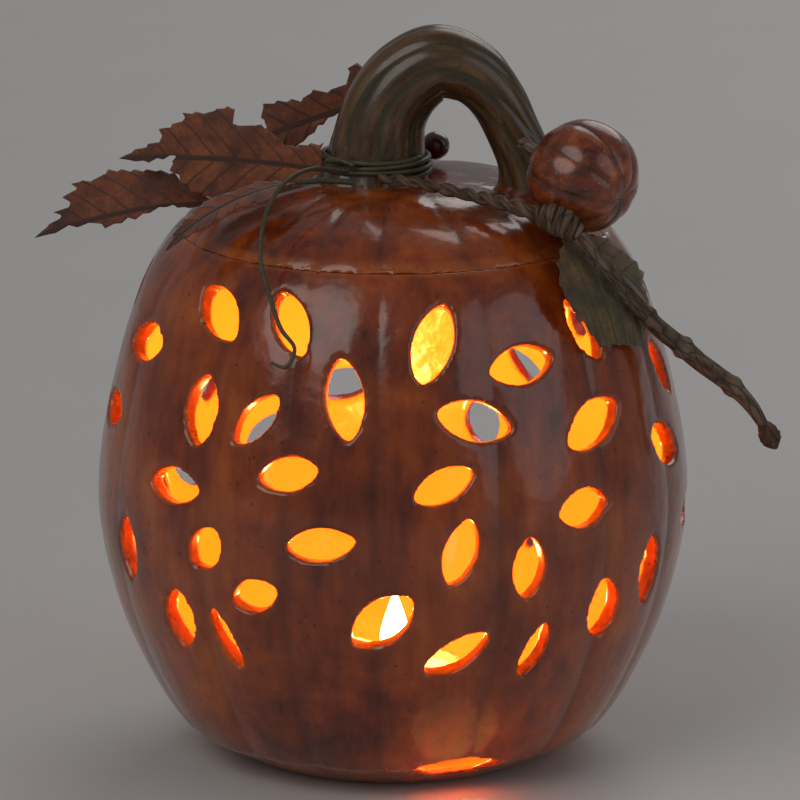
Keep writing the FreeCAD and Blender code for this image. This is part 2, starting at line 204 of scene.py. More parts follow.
def add_piece(name, points, faces, material, body, replaced=()):
    """A smooth-shaded mesh from points in metres, riding on a body."""
    mesh = bpy.data.meshes.new(name)
    mesh.from_pydata([tuple(p) for p in points], [], [tuple(f) for f in faces])
    mesh.validate()
    return finish_piece(name, mesh, material, body, replaced)


def finish_piece(name, mesh, material, body, replaced=()):
    mesh.shade_smooth()
    mesh.materials.clear()
    mesh.materials.append(material)
    piece = bpy.data.objects.new(name, mesh)
    link(piece)
    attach(piece, body)
    if replaced:
        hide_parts(*replaced)
    return piece


def store(mesh, name, values):
    """Keeps one number or vector per point, for the material to read."""
    values = np.asarray(values, np.float32)
    if values.ndim == 1:
        mesh.attributes.new(name, "FLOAT", "POINT").data.foreach_set("value", values)
    else:
        mesh.attributes.new(name, "FLOAT_VECTOR", "POINT").data.foreach_set("vector", values.ravel())


def vectors(rows, name):
    values = np.zeros(len(rows) * 3, np.float32)
    rows.foreach_get(name, values)
    return values.reshape(-1, 3).astype(float)


def coordinates(mesh):
    return vectors(mesh.vertices, "co")


def point_normals(mesh):
    return vectors(mesh.vertex_normals, "vector")


def smoothstep(x, low, high):
    t = np.clip((x - low) / (high - low), 0, 1)
    return t * t * (3 - 2 * t)


def fade(lengths, limits):
    """0 to 1 between two limits in millimetres."""
    return smoothstep(lengths, limits[0] * MM, limits[1] * MM)


def wobble(points, size, seed=0.0):
    """Smooth noise between about -1 and 1 at each point, with features of this size."""
    offset = Vector((seed, seed * 1.7, -seed))
    return np.array([noise.noise(Vector(p) / size + offset) for p in points])


def smooth_line(points, count):
    """Evenly spaced stations along one smooth curve through the points."""
    p = np.array(points, float)
    t = np.concatenate([[0], np.cumsum(np.linalg.norm(np.diff(p[:, :3], axis=0), axis=1))])
    slope = np.gradient(p, t, axis=0)
    s = np.linspace(0, t[-1], count)
    i = np.clip(np.searchsorted(t, s, side="right") - 1, 0, len(t) - 2)
    h = (t[i + 1] - t[i])[:, None]
    u = (s - t[i])[:, None] / h
    start = (2 * u**3 - 3 * u**2 + 1) * p[i] + (u**3 - 2 * u**2 + u) * h * slope[i]
    end = (3 * u**2 - 2 * u**3) * p[i + 1] + (u**3 - u**2) * h * slope[i + 1]
    return start + end


def frames_along(line):
    """Direction and two square sideways directions at each station, with no twist."""
    ahead = np.gradient(line, axis=0)
    ahead /= np.linalg.norm(ahead, axis=1)[:, None]
    side = np.cross(ahead[0], (0.3, 1.0, 0.2))
    sides = []
    for direction in ahead:
        side = side - direction * side.dot(direction)
        side /= np.linalg.norm(side)
        sides.append(side)
    sides = np.array(sides)
    return ahead, sides, np.cross(ahead, sides)


def round_ends(stations):
    """Adds stations that close both ends of a rod as half-rounds."""
    line, radius = stations[:, :3], stations[:, 3]
    start = (line[0] - line[1]) / np.linalg.norm(line[0] - line[1])
    end = (line[-1] - line[-2]) / np.linalg.norm(line[-1] - line[-2])
    turns = np.radians([15, 35, 55, 72, 85])
    first = [(*(line[0] + start * radius[0] * 0.7 * math.sin(a)), radius[0] * math.cos(a)) for a in turns]
    last = [(*(line[-1] + end * radius[-1] * 0.7 * math.sin(a)), radius[-1] * math.cos(a)) for a in turns]
    return np.vstack([first[::-1], stations, last])


def ring_faces(rings, segments):
    """The quads between one ring of points and the next."""
    faces = []
    for i in range(rings - 1):
        for j in range(segments):
            k = (j + 1) % segments
            faces.append((i * segments + j, i * segments + k, (i + 1) * segments + k, (i + 1) * segments + j))
    return faces


def capped_faces(rings, segments):
    """The quads between rings, and a face over each end."""
    first = tuple(range(segments))[::-1]
    last = tuple(range((rings - 1) * segments, rings * segments))
    return ring_faces(rings, segments) + [first, last]


def tube(stations, segments, swell=None):
    """Points, faces and grain coordinates of a rod; swell(along, angle) scales its radius."""
    line, radius = stations[:, :3], stations[:, 3]
    _, side, up = frames_along(line)
    along = np.concatenate([[0], np.cumsum(np.linalg.norm(np.diff(line, axis=0), axis=1))])
    angle = np.linspace(0, TAU, segments, endpoint=False)
    scale = np.ones((len(line), segments))
    if swell:
        scale = swell(along[:, None], angle[None, :])
    around = np.cos(angle)[None, :, None] * side[:, None] + np.sin(angle)[None, :, None] * up[:, None]
    points = line[:, None] + around * (radius[:, None] * scale)[:, :, None]
    grain = np.stack(
        np.broadcast_arrays(
            along[:, None],
            radius[:, None] * np.cos(angle)[None, :],
            radius[:, None] * np.sin(angle)[None, :],
        ),
        axis=-1,
    )
    return points.reshape(-1, 3), capped_faces(len(line), segments), grain.reshape(-1, 3)


def add_tube(name, stations, segments, material, body, replaced=(), swell=None):
    points, faces, grain = tube(stations, segments, swell)
    piece = add_piece(name, points, faces, material, body, replaced)
    store(piece.data, "grain", grain)
    return piece


def scaled(points, radius=None):
    """A route in metres, with its radius as a fourth column."""
    p = np.array(points, float) * MM
    if radius is not None:
        p = np.column_stack([p, np.full(len(p), radius * MM)])
    return p


def joined(parts):
    """Several (points, faces, grain) as one."""
    points = []
    faces = []
    grains = []
    start = 0
    for part_points, part_faces, grain in parts:
        points.append(part_points)
        grains.append(grain)
        faces += [tuple(i + start for i in face) for face in part_faces]
        start += len(part_points)
    return np.vstack(points), faces, np.vstack(grains)


def lathe(profile, segments, flute=None):
    """A closed turned shape from (radius, height) pairs in metres; flute(angle, i) adds to a radius."""
    angle = np.linspace(0, TAU, segments, endpoint=False)
    points = []
    for i, (radius, height) in enumerate(profile):
        r = radius + (flute(angle, i) if flute else 0) * np.ones(segments)
        points += list(zip(r * np.cos(angle), r * np.sin(angle), np.full(segments, height)))
    return np.array(points), capped_faces(len(profile), segments)


# ---- materials ----


class Shader:
    """A material's node tree, with short ways to add the nodes that it needs."""

    def __init__(self, name):
        self.material = bpy.data.materials.new(name)
        self.material.use_nodes = True
        self.tree = self.material.node_tree
        self.bsdf = self.tree.nodes["Principled BSDF"]
        self.place = self.add("ShaderNodeTexCoord").outputs["Object"]

    def add(self, kind, **settings):
        node = self.tree.nodes.new(kind)
        for key, value in settings.items():
            setattr(node, key, value)
        return node

    def put(self, value, socket):
        """Sets a socket to a number or colour, or links it to another node's output."""
        if isinstance(value, bpy.types.NodeSocket):
            self.tree.links.new(value, socket)
        else:
            socket.default_value = value

    def surface(self, **values):
        for key, value in values.items():
            self.put(value, self.bsdf.inputs[key.replace("_", " ")])

    def attribute(self, name, output="Fac"):
        return self.add("ShaderNodeAttribute", attribute_name=name).outputs[output]

    def stretched(self, vector, scale):
        node = self.add("ShaderNodeMapping")
        self.put(vector, node.inputs["Vector"])
        node.inputs["Scale"].default_value = scale
        return node.outputs["Vector"]

    def noise(self, size, detail=3.0, roughness=0.55, vector=None, distortion=0.0):
        """Noise whose features are about this many millimetres across."""
        node = self.add("ShaderNodeTexNoise")
        self.put(vector or self.place, node.inputs["Vector"])
        node.inputs["Scale"].default_value = 1 / (size * MM)
        node.inputs["Detail"].default_value = detail
        node.inputs["Roughness"].default_value = roughness
        node.inputs["Distortion"].default_value = distortion
        return node.outputs["Fac"]

    def cells(self, size, feature="F1", vector=None):
        node = self.add("ShaderNodeTexVoronoi", feature=feature)
        self.put(vector or self.place, node.inputs["Vector"])
        node.inputs["Scale"].default_value = 1 / (size * MM)
        return node.outputs["Distance"]

    def ramp(self, value, *stops):
        """Maps a number to colours; each stop is (position, colour or grey)."""
        node = self.add("ShaderNodeValToRGB")
        elements = node.color_ramp.elements
        while len(elements) < len(stops):
            elements.new(0.5)
        for element, (position, colour) in zip(elements, stops):
            grey = isinstance(colour, (int, float))
            element.position = position
            element.color = (colour, colour, colour, 1) if grey else (*colour, 1)
        self.put(value, node.inputs["Fac"])
        return node.outputs["Color"]

    def mix(self, amount, a, b, blend="MIX"):
        node = self.add("ShaderNodeMix", data_type="RGBA", blend_type=blend)
        self.put(amount, node.inputs["Factor"])
        self.put(self.colour(a), node.inputs[6])
        self.put(self.colour(b), node.inputs[7])
        return node.outputs[2]

    @staticmethod
    def colour(value):
        return (*value, 1) if isinstance(value, tuple) and len(value) == 3 else value

    def times(self, a, b):
        return self.sum("MULTIPLY", a, b)

    def sum(self, operation, *values):
        node = self.add("ShaderNodeMath", operation=operation)
        for value, socket in zip(values, node.inputs):
            self.put(value, socket)
        return node.outputs["Value"]

    def split(self, vector):
        node = self.add("ShaderNodeSeparateXYZ")
        self.put(vector, node.inputs["Vector"])
        return node.outputs

    def bump(self, height, distance, strength=1.0, over=None):
        """A bump of this many millimetres, over another bump if one is given."""
        node = self.add("ShaderNodeBump")
        self.put(height, node.inputs["Height"])
        node.inputs["Distance"].default_value = distance * MM
        node.inputs["Strength"].default_value = strength
        if over:
            self.put(over, node.inputs["Normal"])
        return node.outputs["Normal"]


def pumpkin_glaze(name="pumpkin_glaze"):
    """Burnt-orange glaze that pools dark in the grooves and breaks light on the lips; its inner surface is
    lighter and glows with painted candle light.
    """
    s = Shader(name)
    cloud = s.noise(34, 4, 0.6, distortion=0.4)
    streak = s.noise(5.5, 3, 0.6, s.stretched(s.place, (1, 1, 0.22)))
    tone = s.sum("ADD", s.times(cloud, 0.62), s.times(streak, 0.38))
    colour = s.ramp(
        tone,
        (0.34, (0.085, 0.012, 0.004)),
        (0.46, (0.235, 0.036, 0.006)),
        (0.56, (0.36, 0.064, 0.008)),
        (0.68, (0.50, 0.115, 0.014)),
    )
    shade = s.times(s.attribute("groove"), 0.7)
    colour = s.mix(shade, colour, (0.06, 0.012, 0.005))
    lips = s.times(s.attribute("lip"), s.ramp(s.noise(3.0, 3), (0.35, 0.25), (0.6, 0.8)))
    colour = s.mix(lips, colour, (0.56, 0.15, 0.025))
    specks = s.ramp(s.cells(2.6), (0.10, 1), (0.2, 0))
    rare = s.ramp(s.noise(7, 2), (0.5, 0), (0.6, 0.8))
    colour = s.mix(s.times(specks, rare), colour, (0.03, 0.008, 0.004))
    inside = s.attribute("inside")
    colour = s.mix(inside, colour, (0.62, 0.16, 0.02))
    peel = s.bump(s.noise(1.4, 2), 0.05)
    pull = s.bump(s.noise(9, 2), 0.5, over=peel)
    rough = s.ramp(s.noise(12, 4), (0.35, 0.17), (0.65, 0.30))
    s.surface(Base_Color=colour, Roughness=rough, Normal=pull, Coat_Weight=0.6, Coat_Roughness=0.08)
    # Painted light: the inner surface glows, yellow near the flame, deeper orange further off and brighter
    # higher up, standing in for the candle's light and its bounces inside the body.
    flame_gap = s.add("ShaderNodeVectorMath", operation="DISTANCE")
    s.put(s.place, flame_gap.inputs[0])
    flame_gap.inputs[1].default_value = FLAME_MIDDLE
    glow = s.ramp(
        s.times(flame_gap.outputs["Value"], 1 / (GLOW_REACH * MM)),
        (0.30, (1.0, 0.52, 0.022)),
        (0.60, (0.95, 0.43, 0.016)),
        (1.0, (0.80, 0.30, 0.010)),
    )
    height = s.times(s.split(s.place)[2], 1 / (GLOW_HEIGHT * MM))
    strength = s.times(s.ramp(height, (0.15, 0.12), (0.40, 0.45), (0.65, 1.0)), INNER_GLOW)
    s.surface(Emission_Color=glow, Emission_Strength=s.times(inside, strength))
    return s.material


def stem_glaze():
    """Brown glaze with green in the hollows between the ridges."""
    s = Shader("stem_glaze")
    grain = s.attribute("grain", "Vector")
    streak = s.noise(3.2, 4, 0.6, s.stretched(grain, (0.16, 1, 1)))
    colour = s.ramp(
        streak,
        (0.34, (0.030, 0.020, 0.006)),
        (0.50, (0.085, 0.042, 0.014)),
        (0.66, (0.17, 0.088, 0.030)),
    )
    colour = s.mix(s.attribute("groove"), colour, (0.032, 0.042, 0.010))
    specks = s.ramp(s.cells(2.2), (0.10, 0.8), (0.2, 0))
    colour = s.mix(specks, colour, (0.012, 0.008, 0.004))
    rough = s.ramp(s.noise(8, 3), (0.35, 0.22), (0.65, 0.40))
    skin = s.bump(streak, 0.25)
    skin = s.bump(s.noise(1.2, 2), 0.05, over=skin)
    s.surface(Base_Color=colour, Roughness=rough, Normal=skin, Coat_Weight=0.4, Coat_Roughness=0.12)
    return s.material


def leaf_cloth(name, dark, light, vein):
    """Printed, stiffened cloth: mottled colour, a darker midrib and veins, and a fine weave."""
    s = Shader(name)
    along, across, _ = s.split(s.attribute("blade", "Vector"))
    wide = s.sum("ABSOLUTE", across)
    mottle = s.noise(7, 4, 0.6)
    colour = s.mix(s.ramp(mottle, (0.35, 0), (0.65, 1)), dark, light)
    scorch = s.ramp(s.noise(16, 3), (0.52, 0), (0.7, 0.55))
    colour = s.mix(scorch, colour, (0.045, 0.020, 0.010))
    slant = s.sum("SUBTRACT", along, s.times(wide, 0.9))
    wiggle = s.times(s.sum("SUBTRACT", s.noise(9, 2), 0.5), 2.2 * MM)
    phase = s.times(s.sum("ADD", slant, wiggle), 1 / (VEIN_GAP * MM))
    saw = s.sum("ABSOLUTE", s.sum("SUBTRACT", s.sum("FRACT", phase), 0.5))
    side_vein = s.ramp(saw, (0.03, 1), (0.085, 0))
    midrib = s.ramp(s.times(wide, 1 / (1.6 * MM)), (0.32, 1), (0.6, 0))
    veins = s.sum("MAXIMUM", midrib, s.times(side_vein, 0.75))
    fine = s.ramp(s.cells(2.4, "DISTANCE_TO_EDGE"), (0.02, 0.4), (0.07, 0))
    colour = s.mix(s.sum("MAXIMUM", veins, fine), colour, vein)
    warp = s.add("ShaderNodeTexWave", wave_type="BANDS", bands_direction="X")
    weft = s.add("ShaderNodeTexWave", wave_type="BANDS", bands_direction="Y")
    for thread in (warp, weft):
        s.put(s.attribute("blade", "Vector"), thread.inputs["Vector"])
        thread.inputs["Scale"].default_value = 1 / (2.6 * MM)
        thread.inputs["Distortion"].default_value = 0.6
    weave = s.sum("MAXIMUM", warp.outputs["Fac"], weft.outputs["Fac"])
    relief = s.bump(veins, 0.25)
    relief = s.bump(weave, 0.06, 0.7, relief)
    s.surface(Base_Color=colour, Roughness=0.72, Normal=relief, Sheen_Weight=0.25, Sheen_Roughness=0.5)
    return s.material


def bark(name, dark, light, ridges=0.35):
    """Dry bark with its grain along the rod."""
    s = Shader(name)
    grain = s.attribute("grain", "Vector")
    fibre = s.noise(1.3, 5, 0.65, s.stretched(grain, (0.18, 1, 1)), 0.3)
    patch = s.noise(6, 3, vector=grain)
    colour = s.mix(s.ramp(fibre, (0.36, 0), (0.62, 1)), dark, light)
    colour = s.mix(s.ramp(patch, (0.5, 0), (0.72, 0.5)), colour, (0.26, 0.22, 0.16))
    cracks = s.ramp(s.cells(2.0, "DISTANCE_TO_EDGE", s.stretched(grain, (0.3, 1, 1))), (0.01, 1), (0.09, 0))
    colour = s.mix(s.times(cracks, 0.7), colour, (0.02, 0.012, 0.008))
    relief = s.bump(fibre, ridges)
    relief = s.bump(s.sum("SUBTRACT", 1.0, cracks), 0.2, 0.8, relief)
    s.surface(Base_Color=colour, Roughness=s.ramp(fibre, (0.3, 0.9), (0.7, 0.62)), Normal=relief)
    return s.material


def florist_wire():
    """Wire wrapped in a spiral of waxed paper tape."""
    s = Shader("florist_wire")
    along, x, y = s.split(s.attribute("grain", "Vector"))
    turn = s.times(s.sum("ARCTAN2", y, x), 1 / TAU)
    phase = s.sum("FRACT", s.sum("ADD", s.times(along, 1 / (2.2 * MM)), turn))
    lap = s.ramp(phase, (0.0, 0.0), (0.12, 1.0), (1.0, 0.55))
    tint = s.mix(s.noise(3, 3), (0.030, 0.034, 0.012), (0.105, 0.085, 0.035))
    colour = s.mix(s.ramp(phase, (0.0, 0.7), (0.14, 0.0)), tint, (0.015, 0.014, 0.007))
    s.surface(Base_Color=colour, Roughness=0.55, Normal=s.bump(lap, 0.12), Coat_Weight=0.15)
    return s.material


def gourd_skin():
    """Varnished, mottled skin with pale flecks and green shoulders."""
    s = Shader("gourd_skin")
    grain = s.attribute("grain", "Vector")
    blotch = s.noise(6.5, 4, 0.62, distortion=0.5)
    colour = s.ramp(
        blotch,
        (0.34, (0.060, 0.010, 0.006)),
        (0.50, (0.21, 0.038, 0.012)),
        (0.66, (0.40, 0.095, 0.020)),
    )
    height = s.split(grain)[2]
    shoulder = s.ramp(height, (0.55, 0), (0.95, 0.75))
    colour = s.mix(shoulder, colour, (0.055, 0.060, 0.014))
    colour = s.mix(s.attribute("groove"), colour, (0.050, 0.014, 0.006))
    flecks = s.ramp(s.cells(1.6), (0.10, 0.65), (0.17, 0))
    colour = s.mix(flecks, colour, (0.46, 0.24, 0.09))
    relief = s.bump(s.noise(2.2, 3), 0.12)
    relief = s.bump(flecks, 0.04, over=relief)
    s.surface(Base_Color=colour, Roughness=s.ramp(blotch, (0.3, 0.34), (0.7, 0.22)), Normal=relief)
    s.surface(Coat_Weight=0.5, Coat_Roughness=0.1)
    return s.material


def berry_skin():
    s = Shader("berry_skin")
    colour = s.ramp(s.noise(3.2, 3), (0.35, (0.045, 0.003, 0.004)), (0.65, (0.15, 0.009, 0.008)))
    flecks = s.ramp(s.cells(1.0), (0.10, 0.5), (0.18, 0))
    colour = s.mix(flecks, colour, (0.40, 0.15, 0.08))
    s.surface(Base_Color=colour, Roughness=0.22, Normal=s.bump(s.noise(0.9, 2), 0.04), Coat_Weight=0.7)
    return s.material


def cup_foil():
    """Pressed aluminium, with faint drawing lines and patches of soot."""
    s = Shader("cup_foil")
    lines = s.noise(0.6, 2, vector=s.stretched(s.place, (0.15, 0.15, 1)))
    soot = s.ramp(s.noise(6, 3), (0.45, 0), (0.8, 0.5))
    colour = s.mix(soot, (0.80, 0.79, 0.78), (0.32, 0.28, 0.24))
    s.surface(Base_Color=colour, Metallic=1.0, Roughness=s.ramp(lines, (0.3, 0.22), (0.7, 0.42)))
    s.surface(Normal=s.bump(lines, 0.02))
    return s.material


def candle_wax():
    """Paraffin, clear and glossy where it has melted round the wick."""
    s = Shader("candle_wax")
    cloud = s.noise(9, 3)
    colour = s.mix(cloud, (0.74, 0.46, 0.20), (0.82, 0.56, 0.27))
    x, y, _ = s.split(s.place)
    out = s.sum("SQRT", s.sum("ADD", s.times(x, x), s.times(y, y)))
    pool = s.ramp(s.times(out, 1 / (20 * MM)), (0.60, 1), (0.72, 0))
    s.surface(Base_Color=s.mix(pool, colour, (0.70, 0.38, 0.12)))
    s.surface(Roughness=s.ramp(pool, (0.0, 0.45), (1.0, 0.06)), Normal=s.bump(s.noise(2, 3), 0.04))
    s.surface(Subsurface_Weight=0.35, Subsurface_Scale=0.004, IOR=1.44)
    s.bsdf.inputs["Subsurface Radius"].default_value = (1.0, 0.6, 0.35)
    return s.material


def wick_braid():
    """Braided cotton, burnt black at the top with a dull ember."""
    s = Shader("wick_braid")
    along, x, y = s.split(s.attribute("grain", "Vector"))
    turn = s.times(s.sum("ARCTAN2", y, x), 3 / TAU)
    plait = s.sum("FRACT", s.sum("ADD", s.times(along, 1 / (1.6 * MM)), turn))
    burnt = s.ramp(s.times(along, 1 / (20 * MM)), (0.68, 0), (0.80, 1))
    clean = s.mix(s.ramp(plait, (0.0, 1), (0.3, 0)), (0.66, 0.60, 0.48), (0.30, 0.25, 0.18))
    s.surface(Base_Color=s.mix(burnt, clean, (0.010, 0.008, 0.007)), Roughness=0.9)
    s.surface(Normal=s.bump(plait, 0.15), Emission_Color=(1.0, 0.16, 0.02, 1))
    s.surface(Emission_Strength=s.ramp(s.times(along, 1 / (20 * MM)), (0.94, 0), (1.0, 1)))
    return s.material


def clip_steel():
    s = Shader("clip_steel")
    scratch = s.noise(0.5, 3, vector=s.stretched(s.place, (1, 0.1, 1)))
    s.surface(Base_Color=s.mix(scratch, (0.55, 0.54, 0.52), (0.72, 0.71, 0.70)), Metallic=1.0)
    s.surface(Roughness=s.ramp(scratch, (0.3, 0.25), (0.7, 0.45)), Normal=s.bump(scratch, 0.01))
    return s.material


def flame_glow():
    """Blue and faint at the wick, near white in the middle, orange at the tip."""
    s = Shader("flame")
    height = s.split(s.attribute("grain", "Vector"))[0]
    rise = s.times(height, 1 / (FLAME_HEIGHT * MM))
    flicker = s.sum("ADD", rise, s.times(s.sum("SUBTRACT", s.noise(4, 2), 0.5), 0.06))
    colour = s.ramp(
        flicker,
        (0.04, (0.10, 0.16, 0.85)),
        (0.18, (1.0, 0.42, 0.10)),
        (0.45, (1.0, 0.78, 0.38)),
        (0.95, (1.0, 0.50, 0.09)),
    )
    power = s.times(s.ramp(flicker, (0.0, 0.06), (0.3, 1.0), (1.0, 0.7)), FLAME_BRIGHTNESS)
    s.surface(Base_Color=(0.02, 0.01, 0.0, 1), Emission_Color=colour, Emission_Strength=power)
    s.material.cycles.emission_sampling = "NONE"
    return s.material


def floor_paint():
    s = Shader("floor_paint")
    tone = s.mix(s.noise(60, 3), (0.60, 0.595, 0.585), (0.64, 0.635, 0.625))
    s.surface(Base_Color=tone, Roughness=0.6)
    return s.material


FLAME_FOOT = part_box("wick")[1].z - 2.5 * MM
FLAME_MIDDLE = (0.0, 0.0, FLAME_FOOT + 0.5 * FLAME_HEIGHT * MM)


# ---- ceramic ----


def remeshed(node, voxel, passes):
    """A copy of a CAD node's mesh in even faces, with its sharp edges softened."""
    source = NODES[node]
    mesh = source.data.copy()
    stand_in = bpy.data.objects.new(node + "_copy", mesh)
    link(stand_in)
    modifier = stand_in.modifiers.new("even", "REMESH")
    modifier.mode = "VOXEL"
    modifier.voxel_size = voxel * MM
    modifier = stand_in.modifiers.new("soft", "SMOOTH")
    modifier.factor = 0.5
    modifier.iterations = passes
    evaluated = stand_in.evaluated_get(bpy.context.evaluated_depsgraph_get())
    result = bpy.data.meshes.new_from_object(evaluated)
    bpy.data.objects.remove(stand_in)
    return result


def outline(node, bins):
    """The largest radius of a turned node at even heights: (heights, radii)."""
    co = coordinates(NODES[node].data)
    radius = np.hypot(co[:, 0], co[:, 1])
    edges = np.linspace(co[:, 2].min(), co[:, 2].max(), bins + 1)
    heights = []
    radii = []
    for low, high in zip(edges, edges[1:]):
        here = (co[:, 2] >= low) & (co[:, 2] <= high)
        if here.any():
            widest = np.argmax(np.where(here, radius, 0))
            heights.append(co[widest, 2])
            radii.append(radius[widest])
    order = np.argsort(heights)
    return np.array(heights)[order], np.array(radii)[order]


def rib_groove(azimuth):
    """How far into a groove between two ribs an azimuth lies, from 0 to 1."""
    wander = 0.05 * np.sin(azimuth * 3 + 0.7) + 0.035 * np.sin(azimuth * 5 + 2.0)
    phase = (azimuth + wander) * RIB_COUNT / TAU
    gap = np.abs(phase - np.round(phase)) * 2
    return (1 - gap) ** 2.6 * (0.82 + 0.18 * np.sin(azimuth * 2 + 1.1))


def body_look(material):
    """The pierced body: soft lips, shallow ribs and a slightly uneven hand-made form."""
    mesh = remeshed("pumpkin_body", CLAY_VOXEL, BODY_SOFTENING)
    co = coordinates(mesh)
    normals = point_normals(mesh)
    heights, radii = outline("pumpkin_body", 90)
    radius = np.hypot(co[:, 0], co[:, 1])
    depth = np.minimum(np.interp(co[:, 2], heights, radii) - radius, co[:, 2])
    outer = 1 - fade(depth, SKIN_DEPTH)
    azimuth = np.arctan2(co[:, 0], -co[:, 1])
    groove = rib_groove(azimuth)
    span = fade(co[:, 2], RIB_FOOT) * (1 - 0.6 * fade(co[:, 2], RIB_HEAD))
    uneven = 0.35 * wobble(co, 0.045, 3.0) + 0.15 * wobble(co, 0.018, 8.0) - 0.25
    push = outer * span * (-RIB_DEPTH * groove + uneven) * MM
    outward = np.column_stack([co[:, 0], co[:, 1], np.zeros(len(co))])
    outward /= np.maximum(np.linalg.norm(outward, axis=1), 1e-9)[:, None]
    facing = np.clip((normals * outward).sum(1), 0, 1)[:, None]
    co += normals * facing * push[:, None] + outward * (1 - facing) * push[:, None]
    mesh.vertices.foreach_set("co", co.astype(np.float32).ravel())
    store(mesh, "groove", groove**1.6 * outer * span * 0.75)
    turned_out = (normals * outward).sum(1)
    # Mask of the inner walls and the floor inside, where the glaze takes its painted candle glow.
    floor = smoothstep(normals[:, 2], 0.5, 0.9) * (radius < FLOOR_REACH * MM)
    lining = np.maximum(smoothstep(-turned_out, 0.2, 0.6), floor)
    store(mesh, "inside", fade(depth, LINING_DEPTH) * lining)
    store(mesh, "lip", smoothstep(1 - np.abs(turned_out), 0.25, 0.6) * outer)
    finish_piece("pumpkin_body_look", mesh, material, "pumpkin", ["pumpkin_body"])


def lid_look(material):
    """The lid, with the body's ribs running on over it and fading to the middle."""
    mesh = remeshed("lid", CLAY_VOXEL, LID_SOFTENING)
    co = coordinates(mesh)
    normals = point_normals(mesh)
    azimuth = np.arctan2(co[:, 0], -co[:, 1])
    radius = np.hypot(co[:, 0], co[:, 1])
    groove = rib_groove(azimuth)
    _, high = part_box("lid")
    near_top = smoothstep(co[:, 2], high.z - 16 * MM, high.z - 12 * MM)
    upward = smoothstep(normals[:, 2], 0.0, 0.35) * near_top
    span = fade(radius, LID_RIBS)
    uneven = 0.25 * wobble(co, 0.03, 5.0) - 0.15
    push = upward * span * (-0.8 * RIB_DEPTH * groove + uneven) * MM
    co += normals * push[:, None]
    mesh.vertices.foreach_set("co", co.astype(np.float32).ravel())
    store(mesh, "groove", groove**1.6 * upward * span * 0.75)
    # The lid's hollow underside takes the same painted candle glow.
    under = smoothstep(-normals[:, 2], 0.2, 0.7) * (radius < LID_HOLLOW * MM)
    store(mesh, "inside", under)
    store(mesh, "lip", 0.7 * fade(radius, LID_RIM))
    finish_piece("lid_look", mesh, material, "lid", ["lid"])


def stem_look(material):
    """The arched stem, with rounded ridges that twist a little along it."""
    def ridge(along, angle):
        twist = angle + along * 14 + 0.25 * np.sin(along * 90)
        return np.abs(np.sin(twist * STEM_RIDGES / 2)) ** 0.8

    def swell(along, angle):
        foot = np.exp(-((along / 0.006) ** 2)) + np.exp(-(((along.max() - along) / 0.006) ** 2))
        return 0.955 + 0.06 * ridge(along, angle) + 0.05 * foot

    stations = smooth_line(scaled(STEM_LINE), 260)
    points, faces, grain = tube(stations, 128, swell)
    points += (0.25 * MM * wobble(points, 0.016, 2.0))[:, None] * np.array([[1.0, 0.6, 0.3]])
    piece = add_piece("stem_handle_look", points, faces, material, "lid", ["stem_handle"])
    store(piece.data, "grain", grain)
    angle = np.arctan2(grain[:, 2], grain[:, 1])
    store(piece.data, "groove", np.clip(1 - ridge(grain[:, 0], angle) * 1.8, 0, 1) * 0.8)


# ---- garland ----


def blade_outline(node):
    """A leaf's outline on its own plane: (corners, centre, the three directions, height fit)."""
    mesh = NODES[node].data
    co = coordinates(mesh)
    centre = co.mean(0)
    _, _, axes = np.linalg.svd(co - centre, full_matrices=False)
    facing = axes[2] * (1 if axes[2] @ np.array([0.1, -0.7, 0.7]) > 0 else -1)
    work = bmesh.new()
    work.from_mesh(mesh)
    bmesh.ops.remove_doubles(work, verts=work.verts, dist=0.01 * MM)
    face_side = {face: face.normal @ Vector(facing) > 0.5 for face in work.faces}
    border = {}
    for face in (f for f in work.faces if face_side[f]):
        for corner in face.loops:
            if not all(face_side[f] for f in corner.edge.link_faces):
                border[corner.vert] = corner.link_loop_next.vert
    start = next(iter(border))
    loop = [start]
    while border[loop[-1]] is not start:
        loop.append(border[loop[-1]])
    points = np.array([tuple(v.co) for v in loop])
    work.free()
    stalk = NODES[node.replace("leaf", "stalk")].data
    root = points[np.argmin(np.linalg.norm(points - coordinates(stalk)[:, None].mean(0), axis=1))]
    tip = points[np.argmax(np.linalg.norm(points - root, axis=1))]
    forward = (tip - root) - facing * ((tip - root) @ facing)
    forward /= np.linalg.norm(forward)
    sideways = np.cross(facing, forward)
    flat = np.column_stack([(points - root) @ forward, (points - root) @ sideways])
    x, y = ((co - root) @ forward, (co - root) @ sideways)
    terms = np.column_stack([np.ones(len(co)), x, y, x * x, x * y, y * y])
    fit, *_ = np.linalg.lstsq(terms, (co - root) @ facing, rcond=None)
    return flat, root, (forward, sideways, facing), fit


def thinned(loop, angle=12):
    """The corners of a closed loop, without the points that lie on straight runs."""
    kept = []
    count = len(loop)
    for i in range(count):
        before = loop[i] - loop[i - 1]
        after = loop[(i + 1) % count] - loop[i]
        alike = before @ after / (np.linalg.norm(before) * np.linalg.norm(after))
        turn = math.degrees(math.acos(np.clip(alike, -1, 1)))
        if turn > angle:
            kept.append(loop[i])
    return np.array(kept)


def room_inside(point, inward, corners):
    """How far the blade reaches from a point on its edge, straight in."""
    nearest = 1.0
    count = len(corners)
    for i in range(count):
        a, b = corners[i], corners[(i + 1) % count]
        run = b - a
        across = inward[0] * run[1] - inward[1] * run[0]
        if abs(across) < 1e-12:
            continue
        gap = a - point
        reach = (gap[0] * run[1] - gap[1] * run[0]) / across
        share = (gap[0] * inward[1] - gap[1] * inward[0]) / across
        if 0 <= share <= 1 and reach > 0.05 * MM:
            nearest = min(nearest, reach)
    return nearest


